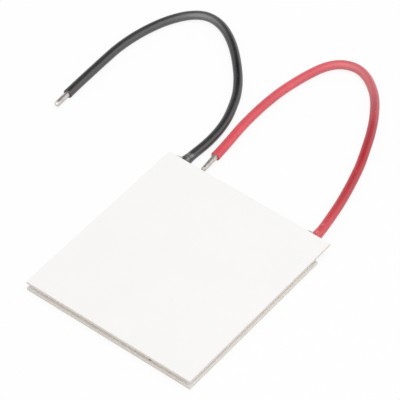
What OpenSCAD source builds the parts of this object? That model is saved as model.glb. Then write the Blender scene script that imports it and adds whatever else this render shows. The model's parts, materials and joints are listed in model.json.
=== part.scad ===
// Thermoelectric cooling module: two ceramic plates with a series chain of
// bismuth telluride pellets between them, a silicone seal and two leads.
// Millimetres, +Z up. The cold plate lies on z = 0 and the hot plate is on top.
// X runs across the plates and +Y points to the edge that the leads leave.

/* [Ceramic plates] */
// Width of both plates
plate_w = 40; // [38:1:50]
// Length of the cold plate
cold_plate_l = 40; // [38:1:50]
// Ledge of the hot plate past the cold plate, where the leads are soldered
ledge_l = 4; // [3.6:0.1:6]
// Thickness of each plate
ceramic_t = 0.635; // [0.5:0.005:1]

/* [Thermocouples] */
// Pellets across the plates, an even number
columns = 16; // [12:2:18]
// Pellets along the plates, an even number
rows = 16; // [12:2:18]
// Side of a square pellet
pellet_side = 1.4; // [1:0.1:1.6]
// Height of a pellet
pellet_h = 0.7; // [0.6:0.05:2]
// Thickness of the copper tabs and terminals
tab_t = 0.2; // [0.15:0.05:0.5]
// How far a tab reaches past its pellets on every side
tab_margin = 0.1; // [0.05:0.05:0.15]
// Thickness of each solder layer
solder_t = 0.04; // [0.03:0.01:0.1]

/* [Seal] */
// How far the seal stands back from the edge of the cold plate
seal_recess = 0.8; // [0.4:0.1:1.2]
// Width of the seal
seal_w = 0.8; // [0.5:0.1:1]
// Space between the seal and the copper tabs
seal_clearance = 0.35; // [0.1:0.05:0.6]
// Radius of the outer corners of the seal
seal_corner_r = 1.2; // [1.1:0.1:2]
// Depth of the hollow in the outer face of the seal
seal_dish = 0.15; // [0.05:0.05:0.25]
// Diameter of the pinhole in the front face of the seal
pinhole_d = 0.5; // [0.3:0.1:0.8]
// Distance of the pinhole from the middle of the plates
pinhole_x = 9.9; // [-15:0.1:15]

/* [Terminals] */
// Width of the terminals on the ledge
terminal_w = 4.2; // [3.6:0.1:5]
// How far the terminals end short of the edge of the ledge
terminal_setback = 0.8; // [0.4:0.1:1]
// How far the middle of a terminal lies inwards of its column of pellets
terminal_shift = 0.65; // [0.3:0.05:1]

/* [Leads] */
// Outer diameter of the insulation
lead_d = 1.95; // [1.7:0.05:2.2]
// Diameter of the tinned stranded conductor
conductor_d = 1.2; // [0.9:0.05:1.2]
// How far the insulation starts past the edge of the ledge
insulation_gap = 0.1; // [0.1:0.1:0.5]
// Distance from the cold plate to the stripped end of the conductor
stub_gap = 0.5; // [0.3:0.1:0.8]
// How far the red lead lies inwards of the middle of its terminal
red_lead_shift = 0.7; // [0:0.1:1]
// Bare length at the free end of the red lead
red_tip_l = 4.6; // [3:0.1:8]
// Bare length at the free end of the black lead
black_tip_l = 3.9; // [3:0.1:8]

/* [Hidden] */
$fn = 48;

// Heights of the layers, from the table up
cold_face_z = ceramic_t;
cold_solder_z = cold_face_z + tab_t;
pellet_z = cold_solder_z + solder_t;
hot_solder_z = pellet_z + pellet_h;
hot_tab_z = hot_solder_z + solder_t;
hot_face_z = hot_tab_z + tab_t;
total_h = hot_face_z + ceramic_t;
gap_h = hot_face_z - cold_face_z;

// Edges along Y, with the middle of the hot plate at y = 0
hot_plate_l = cold_plate_l + ledge_l;
front_y = -hot_plate_l / 2;
ledge_edge_y = hot_plate_l / 2;
cold_edge_y = front_y + cold_plate_l;
cold_mid_y = (front_y + cold_edge_y) / 2;

// The field of pellets fills the seal, less its clearance
tab_w = pellet_side + 2 * tab_margin;
seal_room = 2 * (seal_recess + seal_w + seal_clearance);
pitch_x = (plate_w - seal_room - tab_w) / (columns - 1);
pitch_y = (cold_plate_l - seal_room - tab_w) / (rows - 1);
field_corner_x = -pitch_x * (columns - 1) / 2;
field_corner_y = cold_mid_y - pitch_y * (rows - 1) / 2;
last_column = columns - 1;
last_row = rows - 1;

function column_x(column) = field_corner_x + column * pitch_x;
function row_y(row) = field_corner_y + row * pitch_y;

// The two corner cells on the lead side are left to the terminals
function top_row(column) = (column == 0 || column == last_column) ? last_row - 1 : last_row;

// P and N pellets alternate like the squares of a chessboard
function is_p(column, row) = (column + row) % 2 == 0;

// The chain runs down the even columns and up the odd ones. Along it each hot
// tab joins a pellet to the one before and each cold tab to the one after.
function hot_tab_rows(column) =
    column == 0 || column == last_column ? [for (row = [0:2:last_row - 2]) row]
                                         : [for (row = [0:2:last_row - 1]) row];
function cold_tab_rows(column) =
    [for (row = [1:2:top_row(column) - 1]) row];

// Terminals and leads
terminal_x = column_x(last_column) - terminal_shift;
terminal_end_y = ledge_edge_y - terminal_setback;
terminal_corner_r = 0.4;
black_x = -terminal_x;
red_x = terminal_x - red_lead_shift;
lead_z = lead_d / 2;
// The stripped end runs straight out of the insulation, or lower where it would
// otherwise run into the terminal
conductor_z = min(lead_z, hot_tab_z - solder_t - conductor_d / 2);
stub_start_y = cold_edge_y + stub_gap;
insulation_y = ledge_edge_y + insulation_gap;
joint_margin = 0.2;
joint_start_y = stub_start_y + joint_margin;
joint_end_y = terminal_end_y - joint_margin;
joint_spread = 0.7;
joint_top_w = conductor_d + 2 * joint_spread;
joint_wrap = 0.15;
joint_slope = 0.35;

// The sealant round a soldered joint, with its tail beside the lead
sealant_w = terminal_w + 0.8;
sealant_foot_w = lead_d + 0.9;
sealant_floor_z = 0.15;
sealant_chamfer = 0.5;
sealant_tail_l = 0.55;
sealant_tail_w = 1.5;
sealant_tail_top_z = total_h - 0.15;
sealant_end_y = insulation_y;

// Routes of the leads on the table, from the start of their insulation: x and y.
// The end of the red one lies just clear of the hot face, where a heat sink goes
red_route = [
    [0, 0], [0, 1.4], [-0.2, 3.6], [-0.7, 6.7], [-1.3, 10], [-2.1, 13.5],
    [-3.1, 17.2], [-4.4, 21.4], [-6.1, 25.7], [-8, 30.1], [-10.3, 34.4],
    [-12.9, 38.2], [-15.4, 40.7], [-18.1, 42.5], [-20.9, 43.3], [-23.5, 42.7],
    [-25.4, 41.2], [-26.8, 38.9], [-27.8, 35.9], [-28.7, 32.1], [-29.4, 27.8],
    [-29.7, 23.4], [-29.7, 19.2], [-29.5, 15.1], [-29.1, 11.3], [-28.8, 8.2],
    [-28.6, 5.5]
];
black_route = [
    [0, 0], [0, 1.4], [0.1, 3.7], [0.3, 7.4], [0.1, 11.2], [-0.6, 14.9],
    [-1.8, 18.4], [-3.4, 21.9], [-5.7, 25.4], [-8.7, 28.9], [-12, 32.1],
    [-15.2, 34.5], [-18.2, 36], [-21, 36.5], [-23.4, 35.9], [-25.5, 34.2],
    [-27.2, 31.8], [-28.6, 28.9], [-29.8, 25.2], [-30.6, 21.3], [-31, 17.4],
    [-31, 13.4], [-30.9, 9.4], [-30.8, 5.4], [-30.6, 0.7]
];
lead_sides = 8;

function lead_path(route, exit_x) =
    [for (p = route) [exit_x + p[0], insulation_y + p[1], lead_z]];

function two_digits(number) = str(number < 10 ? "0" : "", number);
function pellet_node(kind, column) = str(kind, "_pellets_", two_digits(column + 1));

// ---- Shared shapes ----

// A block centred on x and y that stands on z = 0
module block(width, length, height) {
    translate([-width / 2, -length / 2, 0]) cube([width, length, height]);
}

// Rectangle with round corners
module round_rectangle(width, length, radius) {
    square([width - 2 * radius, length], center = true);
    square([width, length - 2 * radius], center = true);
    for (sx = [-1, 1], sy = [-1, 1])
        translate([sx * (width / 2 - radius), sy * (length / 2 - radius)])
            circle(r = radius);
}

// Tab that joins the pellets at two cells of the field
module tab(column_a, row_a, column_b, row_b, z) {
    xa = column_x(column_a);
    ya = row_y(row_a);
    xb = column_x(column_b);
    yb = row_y(row_b);
    translate([(xa + xb) / 2, (ya + yb) / 2, z])
        block(abs(xb - xa) + tab_w, abs(yb - ya) + tab_w, tab_t);
}

// Square layer on one cell of the field
module cell_block(column, row, z, height) {
    translate([column_x(column), row_y(row), z]) block(pellet_side, pellet_side, height);
}

module solder_layer(z) {
    for (column = [0:last_column], row = [0:top_row(column)])
        cell_block(column, row, z, solder_t);
}

// ---- Plates ----

module cold_plate() {
    color("whitesmoke")
        translate([0, cold_mid_y, 0]) block(plate_w, cold_plate_l, ceramic_t);
}

module hot_plate() {
    color("whitesmoke")
        translate([0, 0, hot_face_z]) block(plate_w, hot_plate_l, ceramic_t);
}

// ---- Thermocouples ----

// On the cold plate each column has tabs along Y, and the chain turns into the
// next column over a tab along X
module cold_tabs() {
    color("peru") {
        for (column = [0:last_column], row = cold_tab_rows(column))
            tab(column, row, column, row + 1, cold_face_z);
        for (column = [0:2:last_column - 1])
            tab(column, 0, column + 1, 0, cold_face_z);
        for (column = [1:2:last_column - 2])
            tab(column, last_row, column + 1, last_row, cold_face_z);
    }
}

module hot_tabs() {
    color("peru")
        for (column = [0:last_column], row = hot_tab_rows(column))
            tab(column, row, column, row + 1, hot_tab_z);
}

module cold_solder() {
    color("silver") solder_layer(cold_solder_z);
}

module hot_solder() {
    color("silver") solder_layer(hot_solder_z);
}

module p_pellets(column) {
    color("dimgray")
        for (row = [0:top_row(column)])
            if (is_p(column, row)) cell_block(column, row, pellet_z, pellet_h);
}

module n_pellets(column) {
    color("slategray")
        for (row = [0:top_row(column)])
            if (!is_p(column, row)) cell_block(column, row, pellet_z, pellet_h);
}

// ---- Terminals on the ledge ----

// side is 1 for the terminal of the red lead and -1 for that of the black one
module terminal(side) {
    neck_start_y = row_y(last_row - 1) - tab_w / 2;
    head_l = terminal_end_y - cold_edge_y;
    translate([0, 0, hot_tab_z]) linear_extrude(tab_t) {
        translate([side * column_x(last_column) - tab_w / 2, neck_start_y])
            square([tab_w, cold_edge_y + terminal_corner_r - neck_start_y]);
        translate([side * terminal_x, cold_edge_y + head_l / 2])
            round_rectangle(terminal_w, head_l, terminal_corner_r);
    }
}

module positive_terminal() {
    color("peru") terminal(1);
}

module negative_terminal() {
    color("peru") terminal(-1);
}

// ---- Seal ----

// Section of the seal: x points outwards from its outer face, y up
module seal_section() {
    dish_r = (gap_h * gap_h / 4 + seal_dish * seal_dish) / (2 * seal_dish);
    difference() {
        translate([-seal_w, 0]) square([seal_w, gap_h]);
        translate([dish_r - seal_dish, gap_h / 2]) circle(r = dish_r, $fn = 96);
    }
}

module seal_ring() {
    half_w = plate_w / 2 - seal_recess - seal_corner_r;
    half_l = cold_plate_l / 2 - seal_recess - seal_corner_r;
    for (turn = [0, 180]) rotate(turn) {
        translate([half_w + seal_corner_r, half_l, 0])
            rotate([90, 0, 0]) linear_extrude(2 * half_l) seal_section();
        translate([-half_w, half_l + seal_corner_r, 0])
            rotate([90, 0, 90]) linear_extrude(2 * half_w) seal_section();
        translate([half_w, half_l, 0])
            rotate_extrude(angle = 90) translate([seal_corner_r, 0]) seal_section();
        translate([-half_w, half_l, 0])
            rotate(90) rotate_extrude(angle = 90) translate([seal_corner_r, 0]) seal_section();
    }
}

module perimeter_seal() {
    pinhole_y = front_y + seal_recess + seal_dish;
    color("tan") difference() {
        translate([0, cold_mid_y, cold_face_z]) seal_ring();
        terminal(1);
        terminal(-1);
        translate([pinhole_x, pinhole_y, cold_face_z + gap_h / 3])
            cylinder(d = pinhole_d, h = gap_h / 3);
    }
}

// ---- Soldered joints and sealant ----

module stub(exit_x) {
    translate([exit_x, stub_start_y, conductor_z])
        rotate([-90, 0, 0]) cylinder(d = conductor_d, h = insulation_y - stub_start_y);
}

// Fillet of solder between the terminal and the conductor
module joint_body(exit_x) {
    wrap_w = conductor_d + 2 * joint_wrap;
    joint_h = hot_tab_z - conductor_z;
    intersection() {
        translate([exit_x, joint_end_y, conductor_z])
            rotate([90, 0, 0]) linear_extrude(joint_end_y - joint_start_y) {
                circle(d = wrap_w);
                polygon([[-wrap_w / 2, 0], [wrap_w / 2, 0],
                         [wrap_w / 2, joint_h / 3], [joint_top_w / 2, joint_h],
                         [-joint_top_w / 2, joint_h], [-wrap_w / 2, joint_h / 3]]);
            }
        translate([exit_x - joint_top_w, 0, 0])
            rotate([90, 0, 90]) linear_extrude(2 * joint_top_w)
                polygon([[joint_start_y, hot_tab_z], [joint_end_y, hot_tab_z],
                         [joint_end_y - joint_slope, conductor_z - wrap_w / 2],
                         [joint_start_y + joint_slope, conductor_z - wrap_w / 2]]);
    }
}

module solder_joint(exit_x) {
    difference() {
        joint_body(exit_x);
        stub(exit_x);
    }
}

module positive_solder_joint() {
    color("silver") solder_joint(red_x);
}

module negative_solder_joint() {
    color("silver") solder_joint(black_x);
}

// Silicone that covers a joint under the ledge, with a tail at the plate edge
module lead_sealant(exit_x, side) {
    mid_x = side * terminal_x;
    difference() {
        union() {
            intersection() {
                translate([mid_x, sealant_end_y, 0])
                    rotate([90, 0, 0]) linear_extrude(sealant_end_y - cold_edge_y)
                        polygon([[-sealant_w / 2, hot_face_z], [sealant_w / 2, hot_face_z],
                                 [sealant_w / 2, lead_z],
                                 [sealant_foot_w / 2, sealant_floor_z],
                                 [-sealant_foot_w / 2, sealant_floor_z],
                                 [-sealant_w / 2, lead_z]]);
                translate([mid_x - sealant_w, 0, 0])
                    rotate([90, 0, 90]) linear_extrude(2 * sealant_w)
                        polygon([[cold_edge_y, hot_face_z], [sealant_end_y, hot_face_z],
                                 [sealant_end_y, sealant_floor_z],
                                 [cold_edge_y + sealant_chamfer, sealant_floor_z],
                                 [cold_edge_y, sealant_floor_z + sealant_chamfer]]);
            }
            translate([exit_x, ledge_edge_y, lead_z])
                linear_extrude(sealant_tail_top_z - lead_z)
                    polygon([[-lead_z - sealant_tail_w, 0], [0, 0], [0, insulation_gap],
                             [-lead_z / 2, sealant_tail_l], [-lead_z, sealant_tail_l]]);
        }
        terminal(side);
        joint_body(exit_x);
        stub(exit_x);
        translate([exit_x, insulation_y, lead_z])
            rotate([-90, 0, 0]) cylinder(d = lead_d, h = sealant_tail_l);
    }
}

module red_lead_sealant() {
    color("lightgray") lead_sealant(red_x, 1);
}

module black_lead_sealant() {
    color("lightgray") lead_sealant(black_x, -1);
}

// ---- Leads ----

function unit(v) = v / norm(v);

// Direction of the path at point i, halfway between its two neighbours
function heading(path, i) =
    unit(path[min(i + 1, len(path) - 1)] - path[max(i - 1, 0)]);

// Ring of points round the path at point i
function ring(path, i, radius) =
    let (ahead = heading(path, i), side = unit(cross(ahead, [0, 0, 1])), up = cross(side, ahead))
    [for (k = [0:lead_sides - 1])
        let (turn = 360 * k / lead_sides)
        path[i] + radius * (cos(turn) * side + sin(turn) * up)];

// Tube swept along a path, closed at both ends
module tube(path, radius) {
    n = lead_sides;
    last = len(path) - 1;
    points = [for (i = [0:last]) each ring(path, i, radius)];
    walls = [for (i = [0:last - 1], k = [0:n - 1])
        [i * n + k, i * n + (k + 1) % n, (i + 1) * n + (k + 1) % n, (i + 1) * n + k]];
    start_cap = [[for (k = [0:n - 1]) n - 1 - k]];
    end_cap = [[for (k = [0:n - 1]) last * n + k]];
    polyhedron(points, concat(walls, start_cap, end_cap));
}

// Bare tinned end with a domed nose, along the last stretch of the path
module tip(path, length) {
    last = len(path) - 1;
    ahead = heading(path, last);
    nose_r = conductor_d / 2;
    translate(path[last])
        rotate([0, acos(ahead[2]), atan2(ahead[1], ahead[0])]) {
            cylinder(r = nose_r, h = length - nose_r);
            translate([0, 0, length - nose_r]) sphere(r = nose_r);
        }
}

module red_lead() {
    color("crimson") tube(lead_path(red_route, red_x), lead_d / 2);
}

module black_lead() {
    color("#2b2b2b") tube(lead_path(black_route, black_x), lead_d / 2);
}

module red_conductor() {
    color("silver") {
        stub(red_x);
        tip(lead_path(red_route, red_x), red_tip_l);
    }
}

module black_conductor() {
    color("silver") {
        stub(black_x);
        tip(lead_path(black_route, black_x), black_tip_l);
    }
}

// ---- Drawing ----

cold_plate();
hot_plate();
cold_tabs();
hot_tabs();
cold_solder();
hot_solder();
for (column = [0:last_column])
    p_pellets(column);
for (column = [0:last_column])
    n_pellets(column);
positive_terminal();
negative_terminal();
perimeter_seal();
positive_solder_joint();
negative_solder_joint();
red_lead_sealant();
black_lead_sealant();
red_lead();
black_lead();
red_conductor();
black_conductor();
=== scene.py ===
# %% [markdown]
# # A thermoelectric cooling module
#
# A thermoelectric module is a sandwich. Two thin plates of white alumina hold a
# field of small semiconductor pellets, soldered between copper tabs so that all
# of them form one long chain. A bead of silicone closes the gap round the edge,
# and a red and a black lead bring the current in.
#
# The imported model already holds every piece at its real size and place. This
# lesson keeps those sizes and adds what the eye wants: plates with snapped
# edges, insulation with a cut end, twisted and tinned strands, soft silicone
# and a finish for each material. All lengths are in metres.

import json
import math

import bmesh
import bpy
from mathutils import Matrix, Vector, noise


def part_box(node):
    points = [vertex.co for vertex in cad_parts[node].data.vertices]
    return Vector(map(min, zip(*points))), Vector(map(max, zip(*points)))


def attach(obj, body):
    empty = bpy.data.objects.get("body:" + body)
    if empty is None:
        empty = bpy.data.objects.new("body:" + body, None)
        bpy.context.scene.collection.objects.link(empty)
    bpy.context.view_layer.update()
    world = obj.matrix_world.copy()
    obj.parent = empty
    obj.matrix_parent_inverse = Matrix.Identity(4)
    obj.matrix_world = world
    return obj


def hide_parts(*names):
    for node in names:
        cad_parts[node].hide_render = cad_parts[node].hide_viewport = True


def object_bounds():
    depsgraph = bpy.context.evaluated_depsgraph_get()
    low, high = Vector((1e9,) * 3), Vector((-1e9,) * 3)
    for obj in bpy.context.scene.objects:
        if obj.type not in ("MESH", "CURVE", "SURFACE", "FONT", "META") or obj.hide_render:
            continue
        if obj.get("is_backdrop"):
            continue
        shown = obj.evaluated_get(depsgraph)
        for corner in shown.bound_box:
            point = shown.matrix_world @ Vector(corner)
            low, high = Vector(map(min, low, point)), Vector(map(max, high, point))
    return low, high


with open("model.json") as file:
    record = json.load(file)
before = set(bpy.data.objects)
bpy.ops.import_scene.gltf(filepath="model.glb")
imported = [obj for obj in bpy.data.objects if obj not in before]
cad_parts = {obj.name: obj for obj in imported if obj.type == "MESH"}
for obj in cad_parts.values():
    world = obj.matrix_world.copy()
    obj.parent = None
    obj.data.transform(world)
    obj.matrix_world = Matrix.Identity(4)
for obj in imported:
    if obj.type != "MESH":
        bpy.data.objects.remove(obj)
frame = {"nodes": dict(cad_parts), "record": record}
cad_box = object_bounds()
MM = 0.001
TAU = 2 * math.pi
scene = bpy.context.scene
scene.view_settings.view_transform = "Standard"
print("nodes:", len(frame["nodes"]))
print("packed box, mm:", [round(side / MM, 2) for side in cad_box[1] - cad_box[0]])

# %% [markdown]
# ## The camera
#
# The camera looks down on the module over its front corner. A long lens keeps
# the edges of the plates nearly parallel, as a product shot does. A camera can
# be aimed with a Track To constraint, but its matrix is written here instead,
# because three directions say at once where it looks and how level it is held.

# %% Camera
azimuth, elevation, roll = (math.radians(angle) for angle in (37.977, 47.304, 0.245))
backward = Vector((math.sin(azimuth) * math.cos(elevation),
                   -math.cos(azimuth) * math.cos(elevation), math.sin(elevation)))
level = Vector((math.cos(azimuth), math.sin(azimuth), 0))
rightward = Matrix.Rotation(roll, 3, backward) @ level
upward = backward.cross(rightward)

camera_data = bpy.data.cameras.new("studio_camera")
camera_data.sensor_width = 36
camera_data.lens = 267.28
camera_data.clip_start = 0.05
camera_data.clip_end = 20
camera = bpy.data.objects.new("studio_camera", camera_data)
scene.collection.objects.link(camera)
camera_place = Vector((0.23683, -0.29695, 0.43187))
camera.matrix_world = Matrix.Translation(camera_place) @ Matrix(
    (rightward, upward, backward)).transposed().to_4x4()
scene.camera = camera
print("camera is", round(camera_place.length, 3), "m from the middle of the plates")

# %% [markdown]
# ## The line of a lead
#
# A lead is a length of stranded wire in plastic insulation. Before it has a
# surface it is only a line: where it leaves the module, how it swings round and
# where it comes to rest. A few listed points give that line, and a spline
# through them rounds it off.
#
# Both leads lie on the table all the way. The red one ends just clear of the
# upper plate, so that a heat sink can be laid on the ceramic.

# %% Routes of the leads
insulation_radius = 0.975 * MM
conductor_radius = 0.6 * MM
insulation_start = 22.1 * MM
red_exit = Vector((15.9 * MM, insulation_start, insulation_radius))
black_exit = Vector((-16.6 * MM, insulation_start, insulation_radius))

red_route = (
    (0, 0), (0, 1.4), (-0.2, 3.6), (-0.7, 6.7), (-1.3, 10), (-2.1, 13.5),
    (-3.1, 17.2), (-4.4, 21.4), (-6.1, 25.7), (-8, 30.1), (-10.3, 34.4),
    (-12.9, 38.2), (-15.4, 40.7), (-18.1, 42.5), (-20.9, 43.3), (-23.5, 42.7),
    (-25.4, 41.2), (-26.8, 38.9), (-27.8, 35.9), (-28.7, 32.1), (-29.4, 27.8),
    (-29.7, 23.4), (-29.7, 19.2), (-29.5, 15.1), (-29.1, 11.3), (-28.8, 8.2),
    (-28.6, 5.5))
black_route = (
    (0, 0), (0, 1.4), (0.1, 3.7), (0.3, 7.4), (0.1, 11.2), (-0.6, 14.9),
    (-1.8, 18.4), (-3.4, 21.9), (-5.7, 25.4), (-8.7, 28.9), (-12, 32.1),
    (-15.2, 34.5), (-18.2, 36), (-21, 36.5), (-23.4, 35.9), (-25.5, 34.2),
    (-27.2, 31.8), (-28.6, 28.9), (-29.8, 25.2), (-30.6, 21.3), (-31, 17.4),
    (-31, 13.4), (-30.9, 9.4), (-30.8, 5.4), (-30.6, 0.7))


def lead_points(route, exit_point):
    """Points of a route in the module's frame."""
    return [exit_point + Vector((x * MM, y * MM, 0)) for x, y in route]


def smooth_line(points, spacing):
    """Evenly spaced points on a Catmull-Rom spline through the given ones."""
    ends = [2 * points[0] - points[1], *points, 2 * points[-1] - points[-2]]
    dense = []
    for before, start, stop, after in zip(ends, ends[1:], ends[2:], ends[3:]):
        for t in (step / 24 for step in range(24)):
            dense.append(0.5 * (2 * start + (stop - before) * t
                                + (2 * before - 5 * start + 4 * stop - after) * t ** 2
                                + (3 * start - before - 3 * stop + after) * t ** 3))
    dense.append(points[-1].copy())
    line, left = [dense[0]], spacing
    for a, b in zip(dense, dense[1:]):
        stretch = (b - a).length
        while left <= stretch:
            line.append(a.lerp(b, left / stretch))
            left += spacing
        left -= stretch
    if (line[-1] - dense[-1]).length < spacing / 2:
        line.pop()
    return line + [dense[-1]]


def line_length(line):
    return sum((b - a).length for a, b in zip(line, line[1:]))


red_line = smooth_line(lead_points(red_route, red_exit), 0.5 * MM)
black_line = smooth_line(lead_points(black_route, black_exit), 0.5 * MM)
for name, line in (("red", red_line), ("black", black_line)):
    print(name, "lead:", round(line_length(line) / MM, 1), "mm in", len(line), "rings")

# %% [markdown]
# ## A skin along the line
#
# A curve with a bevel would give a plain pipe. The insulation has a cut end with
# a wall and a bore, though, and that is easier to shape ring by ring: a circle
# is extruded again and again, and each new ring is set round the next point of
# the line. Two numbers are kept on every vertex, its turn round the line and its
# distance along it. They become the UV map that the finish follows. The table is
# at height zero, and a skin that would sink into it is pressed flat. An extrude
# makes its faces in no fixed order, so they are sorted afterwards, and every run
# gives the same mesh.

# %% Extrude rings along a line
def new_piece(name, bm, smooth=True):
    """Turns a bmesh into a linked object that rides on the module."""
    bmesh.ops.recalc_face_normals(bm, faces=bm.faces)
    mesh = bpy.data.meshes.new(name)
    bm.to_mesh(mesh)
    bm.free()
    mesh.polygons.foreach_set("use_smooth", [smooth] * len(mesh.polygons))
    piece = bpy.data.objects.new(name, mesh)
    scene.collection.objects.link(piece)
    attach(piece, "root")
    print(name, "has", len(mesh.polygons), "faces")
    return piece


def heading(line, i):
    return (line[min(i + 1, len(line) - 1)] - line[max(i - 1, 0)]).normalized()


def order_faces(bm):
    """Sorts the faces by their corners, whatever order an extrude made them in."""
    bm.verts.index_update()
    by_corners = sorted(bm.faces, key=lambda face: sorted(vert.index for vert in face.verts))
    for place, face in enumerate(by_corners):
        face.index = place
    bm.faces.sort()


def sweep(bm, rings, sides):
    """Extrudes a ring through steps of (centre, direction, distance, radius_at)."""
    turn_layer = bm.verts.layers.float.get("turn") or bm.verts.layers.float.new("turn")
    along_layer = bm.verts.layers.float.get("along") or bm.verts.layers.float.new("along")
    made = bmesh.ops.create_circle(bm, cap_ends=True, segments=sides, radius=1)["verts"]
    first_face = made[0].link_faces[0]
    for vert in made:
        vert[turn_layer] = math.atan2(vert.co.y, vert.co.x) % TAU
    edges = list(first_face.edges)
    for number, (centre, direction, distance, radius_at) in enumerate(rings):
        if number:
            step = bmesh.ops.extrude_edge_only(bm, edges=edges)["geom"]
            made = [item for item in step if isinstance(item, bmesh.types.BMVert)]
            edges = [item for item in step if isinstance(item, bmesh.types.BMEdge)]
        side = direction.cross(Vector((0, 0, 1))).normalized()
        over = side.cross(direction)
        for vert in made:
            turn = vert[turn_layer]
            radius, ahead = radius_at(turn)
            vert[along_layer] = distance + ahead
            vert.co = centre + direction * ahead + radius * (
                math.cos(turn) * side + math.sin(turn) * over)
            vert.co.z = max(vert.co.z, 0)
    bmesh.ops.contextual_create(bm, geom=edges)
    order_faces(bm)


def add_lead_map(bm):
    """UV map of a swept skin: u once round, v the distance along in metres."""
    turn_layer = bm.verts.layers.float["turn"]
    along_layer = bm.verts.layers.float["along"]
    lead_map = bm.loops.layers.uv.new("lead_map")
    for face in bm.faces:
        turns = [loop.vert[turn_layer] / TAU for loop in face.loops]
        wrap = max(turns) - min(turns) > 0.5
        for loop, turn in zip(face.loops, turns):
            loop[lead_map].uv = (turn + 1 if wrap and turn < 0.5 else turn,
                                 loop.vert[along_layer])

# %% [markdown]
# ## The insulation
#
# Extruded insulation is nearly round, but not quite: it is a hair thicker in
# some places, the sealant spreads it where it leaves the module, and the
# stripping tool swells it where it was cut. The cut itself is a little ragged.
# Behind the cut the skin folds into the bore, so that a thin dark gap shows
# round the strands.
#
# Flares and lumps are given as shares of the radius.

# %% Insulation of both leads
bore_radius = 0.64 * MM
bore_depth = 1.6 * MM
flare_reach = 1.5 * MM
cut_swell, cut_swell_reach = 0.04, 1.6 * MM
lump, lump_length = 0.010, 3 * MM
cut_raggedness = 0.16 * MM
straight_end = 0.3 * MM
insulation_sides = 32


def insulation(name, line, flare, seed):
    """Insulation along a line, flared at the module and cut open at the far end."""
    length = line_length(line)
    lumps = Vector((seed, 0, 0))

    def skin(distance):
        swell = (flare * math.exp(-(distance / flare_reach) ** 2)
                 + cut_swell * math.exp(-(length - distance) / cut_swell_reach))

        def radius_at(turn):
            spot = lumps + Vector((math.cos(turn), math.sin(turn), distance / lump_length))
            return insulation_radius * (1 + swell + lump * noise.noise(spot)), 0
        return radius_at

    def cut(radius, back):
        def radius_at(turn):
            ragged = noise.noise(lumps + 1.6 * Vector((math.cos(turn), math.sin(turn), 3)))
            return radius, cut_raggedness * ragged - back
        return radius_at

    rings, distance = [], 0
    for i, point in enumerate(line):
        if i:
            distance += (point - line[i - 1]).length
        if length - distance > straight_end:
            rings.append((point, heading(line, i), distance, skin(distance)))
    end, ahead = line[-1], heading(line, len(line) - 1)
    outer = insulation_radius * 1.035
    # Rings of the cut: over the outer rim, across the wall and down the bore
    for radius, back in ((outer, 0.22 * MM), (outer * 0.995, 0.08 * MM),
                         (outer * 0.965, 0.015 * MM), (outer * 0.92, 0),
                         (bore_radius * 1.12, 0.02 * MM), (bore_radius * 1.03, 0.07 * MM),
                         (bore_radius, 0.2 * MM), (bore_radius, 0.7 * MM),
                         (bore_radius, bore_depth)):
        rings.append((end, ahead, length, cut(radius, back)))
    bm = bmesh.new()
    sweep(bm, rings, insulation_sides)
    add_lead_map(bm)
    return new_piece(name, bm)


red_lead = insulation("red_insulation", red_line, 0.15, 11)
black_lead = insulation("black_insulation", black_line, 0.28, 47)
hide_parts("red_lead")
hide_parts("black_lead")

# %% [markdown]
# ## The tinned strands
#
# Hook-up wire of this size holds sixteen fine strands, laid in a long twist. The
# maker strips both ends and dips them in solder. Near the insulation the strands
# still show as ridges; towards the nose the solder fills the valleys, draws the
# bundle tighter and ends in a small bright bead behind a crease.
#
# Sixteen separate strands would vanish into each other under the solder. One
# skin with eleven ridges, the count of an outer layer, shows the same surface
# with far less mesh.

# %% Ridges of the strands
ridge_count = 11
strand_sides = 6 * ridge_count
lay_length = 17 * MM
grain_length = 0.5 * MM


def ridges(turn, distance):
    """Depth of the valley between two strands, from 0 on a ridge to 1."""
    wave = math.cos(ridge_count * (turn - TAU * distance / lay_length))
    return 1 - math.sqrt((1 + wave) / 2)


def strand_ring(radius, distance, valley, seed):
    def radius_at(turn):
        bump = noise.noise(Vector((math.cos(turn), math.sin(turn),
                                   distance / grain_length + seed)))
        return radius * (1 - valley * ridges(turn, distance) + 0.02 * bump), 0
    return radius_at


for name, turn in (("ridge", 0), ("valley", math.pi / ridge_count)):
    print("depth at a", name, "is", round(ridges(turn, 0), 2))

# %% [markdown]
# The free end runs from inside the bore to the nose. The bead on the nose is a
# short list of rings: how far along the nose each one is, and how wide. At the
# other end a stub sits in the solder joint on the ledge.

# %% Free ends and soldered stubs
inside_bore = 1.4 * MM
nose_length = 0.46 * MM
shaft_steps, stub_steps = 34, 14
open_valley, filled_valley, stub_valley = 0.05, 0.008, 0.08
solder_bead = ((0.05, 0.93), (0.12, 0.90), (0.22, 0.97), (0.40, 0.96),
               (0.60, 0.86), (0.78, 0.69), (0.91, 0.44), (0.98, 0.18))
stub_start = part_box("red_conductor")[0].y


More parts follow.
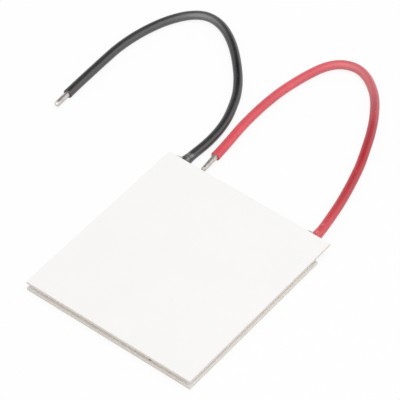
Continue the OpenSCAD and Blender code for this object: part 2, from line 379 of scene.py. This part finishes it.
def tinned_strands(name, line, bare_length, nose_share, exit_point, node, seed):
    """The free end beyond the insulation and the stub in the solder joint."""
    end, ahead = line[-1], heading(line, len(line) - 1)
    bm = bmesh.new()
    rings = []
    shaft = bare_length - nose_length
    for step in range(shaft_steps + 1):
        distance = -inside_bore + (shaft + inside_bore) * step / shaft_steps
        share = max(0, distance) / shaft
        radius = bore_radius * (0.99 - (0.99 - nose_share) * share ** 0.8)
        valley = open_valley * (1 - share) ** 2 + filled_valley
        rings.append((end + ahead * distance, ahead, distance,
                      strand_ring(radius, distance, valley, seed)))
    tip_radius = bore_radius * nose_share
    for share, wide in solder_bead:
        distance = shaft + nose_length * share
        rings.append((end + ahead * distance, ahead, distance,
                      strand_ring(tip_radius * wide, distance, 0, seed)))
    sweep(bm, rings, strand_sides)
    stub_length = exit_point.y + inside_bore - stub_start
    stub_rings = []
    for step in range(stub_steps + 1):
        distance = stub_length * step / stub_steps
        centre = Vector((exit_point.x, stub_start + distance, exit_point.z))
        stub_rings.append((centre, Vector((0, 1, 0)), distance,
                           strand_ring(conductor_radius, distance, stub_valley, seed + 5)))
    sweep(bm, stub_rings, strand_sides)
    add_lead_map(bm)
    piece = new_piece(name, bm)
    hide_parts(node)
    return piece


red_strands = tinned_strands(
    "red_strands", red_line, 4.6 * MM, 0.78, red_exit, "red_conductor", 3)
black_strands = tinned_strands(
    "black_strands", black_line, 3.9 * MM, 0.93, black_exit, "black_conductor", 9)

# %% [markdown]
# ## Silicone
#
# Silicone sealant is squeezed out of a nozzle and pressed into place, so it has
# no sharp edges and its surface wanders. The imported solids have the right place
# and size. A copy of one is remeshed into small even cells, which lets noise
# push the surface in and out, and a few rounds of smoothing make it soft.
#
# The seal also has two pin pricks in its front, where a bubble broke. Each is a
# place, a radius and a depth.

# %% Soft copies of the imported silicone
def soft_copy(name, node, voxel, rounds, wander, grain, material_slot, seed, pricks=()):
    """A remeshed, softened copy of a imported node, pricked with a pin here and there."""
    bm = bmesh.new()
    bm.from_mesh(frame["nodes"][node].data)
    bmesh.ops.remove_doubles(bm, verts=bm.verts, dist=0.002 * MM)
    rough = bpy.data.meshes.new(name + "_rough")
    bm.to_mesh(rough)
    bm.free()
    rough_piece = bpy.data.objects.new(name + "_rough", rough)
    scene.collection.objects.link(rough_piece)
    remesh = rough_piece.modifiers.new("cells", "REMESH")
    remesh.mode = "VOXEL"
    remesh.voxel_size = voxel
    view = bpy.context.evaluated_depsgraph_get()
    cells = bpy.data.meshes.new_from_object(rough_piece.evaluated_get(view))
    bpy.data.objects.remove(rough_piece)
    bm = bmesh.new()
    bm.from_mesh(cells)
    bpy.data.meshes.remove(cells)
    for _ in range(rounds):
        bmesh.ops.smooth_vert(bm, verts=bm.verts, factor=0.5,
                              use_axis_x=True, use_axis_y=True, use_axis_z=True)
    bm.normal_update()
    shift = Vector((seed, seed, seed))
    for vert in bm.verts:
        sideways = 1 - abs(vert.normal.z)
        vert.co += vert.normal * (wander * sideways * noise.fractal(
            vert.co / grain + shift, 1.0, 2.0, 3))
    for spot, radius, depth in pricks:
        for vert in bm.verts:
            away = (vert.co - spot) / radius
            if away.length < 2:
                vert.co.y += depth * math.exp(-2 * (away.x ** 2 + away.z ** 2))
    return new_piece(name, bm)

# %% Seal and sealants
seal_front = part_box("perimeter_seal")[0].y
seal_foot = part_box("perimeter_seal")[0].z
pin_pricks = (
    (Vector((9.9 * MM, seal_front, seal_foot)), 0.27 * MM, 0.6 * MM),
    (Vector((6.3 * MM, seal_front, seal_foot)), 0.2 * MM, 0.2 * MM))
seal = soft_copy("silicone_seal", "perimeter_seal", voxel=0.12 * MM, rounds=3,
                 wander=0.02 * MM, grain=1.8 * MM, material_slot="seal_silicone", seed=2,
                 pricks=pin_pricks)
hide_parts("perimeter_seal")
blob = {"voxel": 0.11 * MM, "rounds": 5, "wander": 0.10 * MM, "grain": 0.9 * MM,
        "material_slot": "lead_sealant"}
red_sealant = soft_copy("red_sealant_blob", "red_lead_sealant", seed=5, **blob)
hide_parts("red_lead_sealant")
black_sealant = soft_copy("black_sealant_blob", "black_lead_sealant", seed=8, **blob)
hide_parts("black_lead_sealant")

# %% [markdown]
# ## The cords
#
# Both leads are limp wires with bare ends.

print("declared", red_lead.name, "and", black_lead.name)

# %% [markdown]
# ## The ceramic plates
#
# A plate starts as a large sheet of fired alumina. A laser drills a row of
# closely spaced pits along each line, and the sheet is snapped there. The lapped
# faces are flat and the corners crisp, but the snapped edge is never quite
# straight. So a block is cut into a grid, its edges are bevelled by a hair, and
# noise moves only the vertices of the rim, only inwards. The faces stay flat
# shaded, because smooth shading would bend the light round a crisp corner.

# %% Plates with snapped edges
rim_bevel = 0.05 * MM
rim_wander = 0.003 * MM
rim_grain = 2.2 * MM
grid_cuts = 63


def ceramic_plate(name, node, seed):
    low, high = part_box(node)
    size, middle = high - low, (high + low) / 2
    bm = bmesh.new()
    bmesh.ops.create_cube(bm, size=1, matrix=Matrix.Translation(middle) @ Matrix.Diagonal(
        (*size, 1)))
    long_edges = [edge for edge in bm.edges if edge.calc_length() > 0.5 * size.x]
    bmesh.ops.subdivide_edges(bm, edges=long_edges, cuts=grid_cuts, use_grid_fill=True)
    rim = [edge for edge in bm.edges if edge.calc_face_angle(0) > 1]
    bmesh.ops.bevel(bm, geom=rim, offset=rim_bevel, offset_type="OFFSET", segments=2,
                    profile=0.5, affect="EDGES", material=-1)
    shift = Vector((seed, 0, 0))
    inner = [half - rim_bevel * 1.5 for half in size / 2]
    for vert in bm.verts:
        spot = vert.co - middle
        for axis in (0, 1):
            if abs(spot[axis]) > inner[axis]:
                pull = rim_wander * abs(noise.fractal(spot / rim_grain + shift, 1, 2, 3))
                vert.co[axis] -= math.copysign(pull, spot[axis])
    piece = new_piece(name, bm, smooth=False)
    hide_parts(node)
    return piece


cold_ceramic = ceramic_plate("cold_ceramic", "cold_plate", 21)
hot_ceramic = ceramic_plate("hot_ceramic", "hot_plate", 33)

# %% [markdown]
# ## Shared effects
#
# Most finishes need the same two things: a soft mottle, where the surface wanders
# between two colours or two gloss levels, and a scatter of small specks. Each is
# a node group, built once and placed in every material with its own values. A
# group hands out only masks and heights. The shader stays in the material.

# %% Node helpers
def place(tree, kind, sockets, **options):
    """Adds a node, sets its options, and fills or links the sockets named."""
    node = tree.nodes.new(kind)
    for option, value in options.items():
        setattr(node, option, value)
    for socket, value in sockets.items():
        if isinstance(value, bpy.types.NodeSocket):
            tree.links.new(value, node.inputs[socket])
        else:
            node.inputs[socket].default_value = value
    return node


def new_group(name, inputs, outputs):
    group = bpy.data.node_groups.new(name, "ShaderNodeTree")
    for direction, sockets in (("INPUT", inputs), ("OUTPUT", outputs)):
        for socket, kind in sockets.items():
            group.interface.new_socket(socket, in_out=direction, socket_type=kind)
    return group, group.nodes.new("NodeGroupInput"), group.nodes.new("NodeGroupOutput")


NUMBER, VECTOR = "NodeSocketFloat", "NodeSocketVector"

# %% [markdown]
# The mottle is a noise texture whose middle range is stretched, so that Low and
# High set how much of the surface takes the second colour.

# %% Mottle group
mottle, given, result = new_group(
    "mottle", {"Vector": VECTOR, "Scale": NUMBER, "Low": NUMBER, "High": NUMBER},
    {"Mask": NUMBER, "Height": NUMBER})
cloud = place(mottle, "ShaderNodeTexNoise", {
    "Vector": given.outputs["Vector"], "Scale": given.outputs["Scale"],
    "Detail": 5.0, "Roughness": 0.6})
spread = place(mottle, "ShaderNodeMapRange", {
    "Value": cloud.outputs["Fac"], "From Min": given.outputs["Low"],
    "From Max": given.outputs["High"]}, interpolation_type="SMOOTHSTEP")
mottle.links.new(spread.outputs["Result"], result.inputs["Mask"])
mottle.links.new(cloud.outputs["Fac"], result.inputs["Height"])
print("mottle group:", len(mottle.nodes), "nodes")

# %% [markdown]
# The specks are the middles of Voronoi cells. Only cells whose own random colour
# falls below Share get one, which scatters them unevenly as dust does.

# %% Speck group
specks, given, result = new_group(
    "specks", {"Vector": VECTOR, "Scale": NUMBER, "Size": NUMBER, "Share": NUMBER},
    {"Mask": NUMBER})
cells = place(specks, "ShaderNodeTexVoronoi", {
    "Vector": given.outputs["Vector"], "Scale": given.outputs["Scale"]})
dot = place(specks, "ShaderNodeMath", {
    0: cells.outputs["Distance"], 1: given.outputs["Size"]}, operation="LESS_THAN")
lot = place(specks, "ShaderNodeSeparateColor", {"Color": cells.outputs["Color"]})
chosen = place(specks, "ShaderNodeMath", {
    0: lot.outputs["Red"], 1: given.outputs["Share"]}, operation="LESS_THAN")
both = place(specks, "ShaderNodeMath", {
    0: dot.outputs[0], 1: chosen.outputs[0]}, operation="MULTIPLY")
specks.links.new(both.outputs[0], result.inputs["Mask"])
print("speck group:", len(specks.nodes), "nodes")

# %% [markdown]
# ## A finish
#
# Every finish starts the same way: a material with a Principled shader whose
# plain values are set on its own sockets, and the object's coordinates to hang
# patterns on. Colours are mixed by a mask, and a height becomes a bump. Two
# finishes get painted shade: the pin pricks and the ceramic just below them are darkened.

# %% Finish helpers
def new_finish(name, **plain):
    """A material, its node tree, its shader and the object's coordinates."""
    finish = bpy.data.materials.new(name)
    finish.use_nodes = True
    tree = finish.node_tree
    shader = tree.nodes["Principled BSDF"]
    for socket, value in plain.items():
        shader.inputs[socket.replace("_", " ")].default_value = value
    where = tree.nodes.new("ShaderNodeTexCoord")
    return finish, tree, shader, where


def use_group(tree, group, vector, **values):
    """Places a node group on a vector, with its own values."""
    node = place(tree, "ShaderNodeGroup", {}, node_tree=group)
    tree.links.new(vector, node.inputs["Vector"])
    for socket, value in values.items():
        node.inputs[socket].default_value = value
    return node


def mix_colours(tree, mask, first, second):
    node = place(tree, "ShaderNodeMix", {0: mask, 6: first, 7: second}, data_type="RGBA")
    return node.outputs[2]


def between(tree, mask, low, high):
    """A number that runs from low to high with the mask."""
    return place(tree, "ShaderNodeMapRange", {
        "Value": mask, "To Min": low, "To Max": high}).outputs["Result"]


def add_bump(tree, shader, height, strength, depth):
    bump = place(tree, "ShaderNodeBump", {
        "Height": height, "Strength": strength, "Distance": depth})
    tree.links.new(bump.outputs["Normal"], shader.inputs["Normal"])


def wire(tree, socket, shader, name):
    tree.links.new(socket, shader.inputs[name])


# Painted shade: the brown of the shadow in the pin pricks and on the ceramic below them
pinhole_shade_brown = (0.16, 0.13, 0.11, 1)
fully_dark_depth = 0.5 * MM


def paint_pinhole_shade(tree, where, colour):
    """Painted shade: darkens a colour in the pin pricks of the seal and on the ceramic below
    them.
    """
    # The deeper a prick, the darker its painted shade
    for spot, radius, depth in pin_pricks:
        away = place(tree, "ShaderNodeVectorMath", {
            0: where.outputs["Object"], 1: spot}, operation="DISTANCE")
        inside = place(tree, "ShaderNodeMapRange", {
            "Value": away.outputs["Value"], "From Min": 0.8 * radius,
            "From Max": 1.3 * radius, "To Min": min(1, depth / fully_dark_depth),
            "To Max": 0.0})
        colour = mix_colours(tree, inside.outputs["Result"], colour, pinhole_shade_brown)
    return colour

# %% [markdown]
# ## Lapped alumina
#
# Substrate alumina is nearly white and quite matt. Lapping leaves it even, with a
# very faint cloudiness and now and then a grey speck of the furnace. Both are
# kept so low that they are felt more than seen. Faces that look sideways get a
# tint a little darker and tan.

# %% Lapped alumina
lapped_alumina, tree, shader, where = new_finish(
    "lapped_alumina", Roughness=0.5, IOR=1.5, Specular_IOR_Level=0.12)
clouds = use_group(tree, mottle, where.outputs["Object"], Scale=90, Low=0.3, High=0.72)
fine = use_group(tree, mottle, where.outputs["Object"], Scale=5200, Low=0.3, High=0.7)
dust = use_group(tree, specks, where.outputs["Object"], Scale=420, Size=0.05, Share=0.05)
alumina_white, alumina_bright = (0.915, 0.908, 0.895, 1), (0.928, 0.921, 0.909, 1)
furnace_grey, side_tan = (0.82, 0.805, 0.78, 1), (0.86, 0.795, 0.725, 1)
clean = mix_colours(tree, clouds.outputs["Mask"], alumina_white, alumina_bright)
spotted = mix_colours(tree, dust.outputs["Mask"], clean, furnace_grey)
surface = tree.nodes.new("ShaderNodeNewGeometry")
facing = place(tree, "ShaderNodeSeparateXYZ", {"Vector": surface.outputs["Normal"]})
flatness = place(tree, "ShaderNodeMath", {0: facing.outputs["Z"]}, operation="ABSOLUTE")
snapped = place(tree, "ShaderNodeMapRange", {
    "Value": flatness.outputs[0], "From Min": 0.3, "From Max": 0.9,
    "To Min": 1.0, "To Max": 0.0})
# Faces that look sideways get a darker, tan tint
side_tinted = mix_colours(tree, snapped.outputs["Result"], spotted, side_tan)
# Painted shade darkens the ceramic below the pin pricks
wire(tree, paint_pinhole_shade(tree, where, side_tinted), shader, "Base Color")
wire(tree, between(tree, fine.outputs["Mask"], 0.44, 0.56), shader, "Roughness")
add_bump(tree, shader, fine.outputs["Height"], 0.15, 0.01 * MM)
print(lapped_alumina.name, "has", len(tree.nodes), "nodes")

# %% [markdown]
# ## Insulation
#
# The insulation is soft vinyl: coloured all through, satin, with a slight orange
# peel from the extruder that runs along the wire. The lead map gives the pattern
# its direction, so the peel follows every bend. A soft mottle varies the colour a
# little, and a ramp along the lead paints light and shade into it: light over the
# top of each loop, dark where the lead climbs to it. Near the module, handling has
# left a few pale smears of sealant.

# %% Vinyl for both leads
def light_and_shade_ramp(tree, distance, tones):
    """Painted light and shade: colours at chosen distances along a lead, in mm, blended in
    between.
    """
    along = place(tree, "ShaderNodeMapRange", {"Value": distance, "From Max": 100 * MM})
    ramp = place(tree, "ShaderNodeValToRGB", {"Fac": along.outputs["Result"]})
    stops = ramp.color_ramp.elements
    stops.remove(stops[1])
    (_, first_colour), *others = tones
    stops[0].color = (*first_colour, 1)
    for millimetres, colour in others:
        stops.new(millimetres / 100).color = (*colour, 1)
    return ramp.outputs["Color"]


def vinyl(name, tones, smear, smear_amount, shine):
    """Satin vinyl with painted light and shade along the lead and smears near the module."""
    finish, tree, shader, where = new_finish(name, IOR=1.5, Specular_IOR_Level=shine)
    lead_map = place(tree, "ShaderNodeUVMap", {}, uv_map="lead_map")
    parts = place(tree, "ShaderNodeSeparateXYZ", {"Vector": lead_map.outputs["UV"]})
    peel = use_group(tree, mottle, where.outputs["Object"], Scale=900, Low=0.3, High=0.7)
    tone = use_group(tree, mottle, where.outputs["Object"], Scale=140, Low=0.3, High=0.7)
    # The ramp paints light and shade along the lead
    main = light_and_shade_ramp(tree, parts.outputs["Y"], tones)
    deeper = place(tree, "ShaderNodeHueSaturation", {"Value": 0.86, "Color": main})
    body = mix_colours(tree, tone.outputs["Mask"], main, deeper.outputs["Color"])
    near = place(tree, "ShaderNodeMapRange", {
        "Value": parts.outputs["Y"], "From Min": 1 * MM, "From Max": 8 * MM,
        "To Min": 1.0, "To Max": 0.0}, interpolation_type="SMOOTHSTEP")
    blot = use_group(tree, mottle, where.outputs["Object"], Scale=650, Low=0.53, High=0.68)
    smeared = place(tree, "ShaderNodeMath", {
        0: blot.outputs["Mask"], 1: near.outputs["Result"]}, operation="MULTIPLY")
    amount = place(tree, "ShaderNodeMath", {
        0: smeared.outputs[0], 1: smear_amount}, operation="MULTIPLY")
    smudged = mix_colours(tree, amount.outputs[0], body, smear)
    lint = use_group(tree, specks, where.outputs["Object"], Scale=900, Size=0.07, Share=0.04)
    dusted = mix_colours(tree, lint.outputs["Mask"], smudged, smear)
    wire(tree, dusted, shader, "Base Color")
    wire(tree, between(tree, peel.outputs["Mask"], 0.28, 0.38), shader, "Roughness")
    add_bump(tree, shader, peel.outputs["Height"], 0.25, 0.02 * MM)
    return finish


# Painted light and shade along each lead, in mm from the module: dark where it climbs, light
# over the loop
red_light_and_shade = (
    (0, (0.68, 0.080, 0.100)), (24, (0.47, 0.020, 0.032)), (33, (0.48, 0.046, 0.060)),
    (42, (0.62, 0.150, 0.170)), (51, (0.72, 0.165, 0.185)), (60, (0.78, 0.125, 0.150)),
    (92, (0.78, 0.080, 0.105)))
red_vinyl = vinyl("red_vinyl", red_light_and_shade, (0.78, 0.42, 0.44, 1), 0.45, 0.6)
black_light_and_shade = (
    (0, (0.040, 0.040, 0.042)), (22, (0.016, 0.0165, 0.018)), (30, (0.002, 0.0025, 0.004)),
    (38, (0.026, 0.027, 0.029)), (47, (0.095, 0.096, 0.100)), (56, (0.050, 0.051, 0.054)),
    (66, (0.032, 0.033, 0.035)), (86, (0.024, 0.025, 0.027)))
black_vinyl = vinyl("black_vinyl", black_light_and_shade, (0.36, 0.36, 0.34, 1), 0.7, 0.95)
print("red tones:", len(red_light_and_shade), "black tones:", len(black_light_and_shade))

# %% [markdown]
# ## Metals
#
# Tinned strands, solder and the copper tabs share one recipe: a metal whose
# colour and gloss wander, with a fine bump. Only the colours and sizes differ.

# %% Metals
def metal(name, bright, dull, scale, gloss, rough, bump):
    """A metal between two colours, with roughness between gloss and rough."""
    finish, tree, shader, where = new_finish(name, Metallic=1.0)
    film = use_group(tree, mottle, where.outputs["Object"], Scale=scale, Low=0.35, High=0.7)
    fine = use_group(tree, mottle, where.outputs["Object"], Scale=9 * scale, Low=0.3, High=0.7)
    wire(tree, mix_colours(tree, film.outputs["Mask"], bright, dull), shader, "Base Color")
    wire(tree, between(tree, fine.outputs["Mask"], gloss, rough), shader, "Roughness")
    add_bump(tree, shader, fine.outputs["Height"], bump, 0.02 * MM)
    return finish


tinned_copper = metal("tinned_copper", (0.64, 0.61, 0.58, 1), (0.50, 0.47, 0.44, 1),
                      900, 0.46, 0.56, 0.12)
rolled_copper = metal("rolled_copper", (0.84, 0.44, 0.28, 1), (0.62, 0.27, 0.17, 1),
                      300, 0.28, 0.42, 0.15)
soft_solder = metal("soft_solder", (0.72, 0.72, 0.71, 1), (0.50, 0.50, 0.51, 1),
                    700, 0.30, 0.5, 0.3)
p_crystal = metal("p_telluride_crystal", (0.34, 0.33, 0.33, 1), (0.20, 0.20, 0.21, 1),
                  1200, 0.25, 0.55, 0.4)
n_crystal = metal("n_telluride_crystal", (0.38, 0.40, 0.43, 1), (0.24, 0.25, 0.28, 1),
                  1500, 0.25, 0.55, 0.4)
for finish in (tinned_copper, rolled_copper, soft_solder, p_crystal, n_crystal):
    print("metal:", finish.name)

# %% [markdown]
# ## Silicone and sealant
#
# Cured silicone is milky and a little greasy. It is never one colour: thin
# places let the dark inside show through, and its pin pricks get painted shade.

# %% Silicones
def silicone(name, pale, dull, roughness, shine):
    """A milky rubber that is pale in some places and dull in others."""
    finish, tree, shader, where = new_finish(name, IOR=1.42, Specular_IOR_Level=shine)
    patches = use_group(tree, mottle, where.outputs["Object"], Scale=420, Low=0.32, High=0.68)
    fine = use_group(tree, mottle, where.outputs["Object"], Scale=3000, Low=0.3, High=0.7)
    body = mix_colours(tree, patches.outputs["Mask"], pale, dull)
    # Painted shade darkens the pin pricks
    wire(tree, paint_pinhole_shade(tree, where, body), shader, "Base Color")
    wire(tree, between(tree, fine.outputs["Mask"], roughness - 0.08, roughness + 0.08),
         shader, "Roughness")
    add_bump(tree, shader, fine.outputs["Height"], 0.1, 0.02 * MM)
    return finish


seal_silicone = silicone("seal_silicone", (0.86, 0.745, 0.625, 1), (0.78, 0.66, 0.545, 1),
                         0.6, 0.15)
grey_sealant = silicone("grey_sealant", (0.60, 0.60, 0.57, 1), (0.42, 0.43, 0.40, 1),
                        0.42, 0.4)
print("silicones:", seal_silicone.name, "and", grey_sealant.name)

# %% [markdown]
# ## Dress every piece
#
# The new pieces get their finish by name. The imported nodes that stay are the
# inner ones, and the record says what each of them is made of.

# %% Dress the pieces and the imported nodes
for piece, finish in ((cold_ceramic, lapped_alumina), (hot_ceramic, lapped_alumina),
                      (red_lead, red_vinyl), (black_lead, black_vinyl),
                      (red_strands, tinned_copper), (black_strands, tinned_copper),
                      (seal, seal_silicone), (red_sealant, grey_sealant),
                      (black_sealant, grey_sealant)):
    piece.data.materials.append(finish)

finish_of_slot = {
    "alumina": lapped_alumina, "copper": rolled_copper, "solder": soft_solder,
    "p_telluride": p_crystal, "n_telluride": n_crystal, "seal_silicone": seal_silicone,
    "lead_sealant": grey_sealant, "red_insulation": red_vinyl,
    "black_insulation": black_vinyl, "tinned_strands": tinned_copper}
for part in frame["record"]["subparts"]:
    node = frame["nodes"][part["node"]]
    for slot in node.material_slots:
        slot.material = finish_of_slot[part["material_slot"]]
print("dressed", len(frame["nodes"]), "nodes")

# %% [markdown]
# ## The table
#
# The module lies on a white table. A table that is merely white renders a little
# grey, so camera and mirror rays see most of it as plain white and the rest as
# lit paper, which keeps a faint soft shadow.

# %% Table
table_half, table_drop = 2, 0.01 * MM
plain_white_share = 0.88
table_bm = bmesh.new()
bmesh.ops.create_grid(table_bm, x_segments=1, y_segments=1, size=table_half)
bmesh.ops.translate(table_bm, verts=table_bm.verts, vec=(0, 0, -table_drop))
table_mesh = bpy.data.meshes.new("table")
table_bm.to_mesh(table_mesh)
table_bm.free()
table = bpy.data.objects.new("table", table_mesh)
scene.collection.objects.link(table)
table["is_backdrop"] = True

paper = bpy.data.materials.new("white_paper")
paper.use_nodes = True
tree = paper.node_tree
paper_shader = tree.nodes["Principled BSDF"]
paper_shader.inputs["Base Color"].default_value = (0.92, 0.915, 0.91, 1)
paper_shader.inputs["Roughness"].default_value = 0.9
paper_shader.inputs["Specular IOR Level"].default_value = 0
glow = place(tree, "ShaderNodeEmission", {"Color": (1, 1, 1, 1), "Strength": 1.0})
ray = tree.nodes.new("ShaderNodeLightPath")
seen = place(tree, "ShaderNodeMath", {
    0: ray.outputs["Is Camera Ray"], 1: ray.outputs["Is Glossy Ray"]}, operation="MAXIMUM")
share = place(tree, "ShaderNodeMath", {
    0: seen.outputs[0], 1: plain_white_share}, operation="MULTIPLY")
blend = place(tree, "ShaderNodeMixShader", {
    0: share.outputs[0], 1: paper_shader.outputs[0], 2: glow.outputs[0]})
tree.links.new(blend.outputs[0], tree.nodes["Material Output"].inputs["Surface"])
table.data.materials.append(paper)
print("table is", 2 * table_half, "m wide")

# %% [markdown]
# ## Light tent and lamp
#
# Matt surfaces need soft light from everywhere, and shiny ones need something to
# mirror. So the tent gives one even level to matt surfaces, and a drawn room to
# glossy rays: brighter on the right, a broad soft box in front, and a dark opening
# high at the back that puts a dark line on the leads. A broad lamp hangs above. It
# is hidden from glossy rays, so that it leaves no round highlight.

# %% Tent
matt_level = 0.585
opening_way, front_way = (-0.28, 0.48, 0.83), (-0.10, -0.75, 0.65)
tent = bpy.data.worlds.new("light_tent")
scene.world = tent
tent.use_nodes = True
tree = tent.node_tree
sky = tree.nodes["Background"]
where = tree.nodes.new("ShaderNodeTexCoord")
way = place(tree, "ShaderNodeSeparateXYZ", {"Vector": where.outputs["Generated"]})
sideways = place(tree, "ShaderNodeMapRange", {
    "Value": way.outputs["X"], "From Min": -1.0, "From Max": 1.0,
    "To Min": 0.7, "To Max": 1.5})
gap = place(tree, "ShaderNodeVectorMath", {
    0: where.outputs["Generated"], 1: opening_way}, operation="DOT_PRODUCT")
opening = place(tree, "ShaderNodeMapRange", {
    "Value": gap.outputs["Value"], "From Min": 0.72, "From Max": 0.94,
    "To Min": 1.0, "To Max": 0.05}, interpolation_type="SMOOTHSTEP")
ahead = place(tree, "ShaderNodeVectorMath", {
    0: where.outputs["Generated"], 1: front_way}, operation="DOT_PRODUCT")
softbox = place(tree, "ShaderNodeMapRange", {
    "Value": ahead.outputs["Value"], "From Min": 0.4, "From Max": 0.8,
    "To Min": 1.0, "To Max": 2.2}, interpolation_type="SMOOTHSTEP")
panels = place(tree, "ShaderNodeMath", {
    0: sideways.outputs["Result"], 1: softbox.outputs["Result"]}, operation="MULTIPLY")
wall = place(tree, "ShaderNodeMath", {
    0: opening.outputs["Result"], 1: panels.outputs[0]}, operation="MULTIPLY")
ray = tree.nodes.new("ShaderNodeLightPath")
soft = place(tree, "ShaderNodeMix", {
    0: ray.outputs["Is Glossy Ray"], 2: matt_level, 3: wall.outputs[0]}, data_type="FLOAT")
level = place(tree, "ShaderNodeMix", {
    0: ray.outputs["Is Camera Ray"], 2: soft.outputs[0], 3: 1.0}, data_type="FLOAT")
tree.links.new(level.outputs[0], sky.inputs["Strength"])
sky.inputs["Color"].default_value = (1, 1, 1, 1)
print("tent:", len(tree.nodes), "nodes")

# %% Lamp
lamp_data = bpy.data.lights.new("overhead_panel", "AREA")
lamp_data.shape = "DISK"
lamp_data.size = 0.7
lamp_data.energy = 2.15
lamp = bpy.data.objects.new("overhead_panel", lamp_data)
scene.collection.objects.link(lamp)
lamp.location = (0.08, 0.05, 0.6)
lamp.rotation_euler = (math.radians(-5), math.radians(8), 0)
lamp.visible_glossy = False
print("lamp is", lamp_data.size, "m wide at", lamp.location.z, "m")

# %% Write both boxes and finish
visual_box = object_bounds()
for name, box in (("packed", cad_box), ("dressed", visual_box)):
    print(name, "mm:", [round(side / MM, 2) for side in box[1] - box[0]])
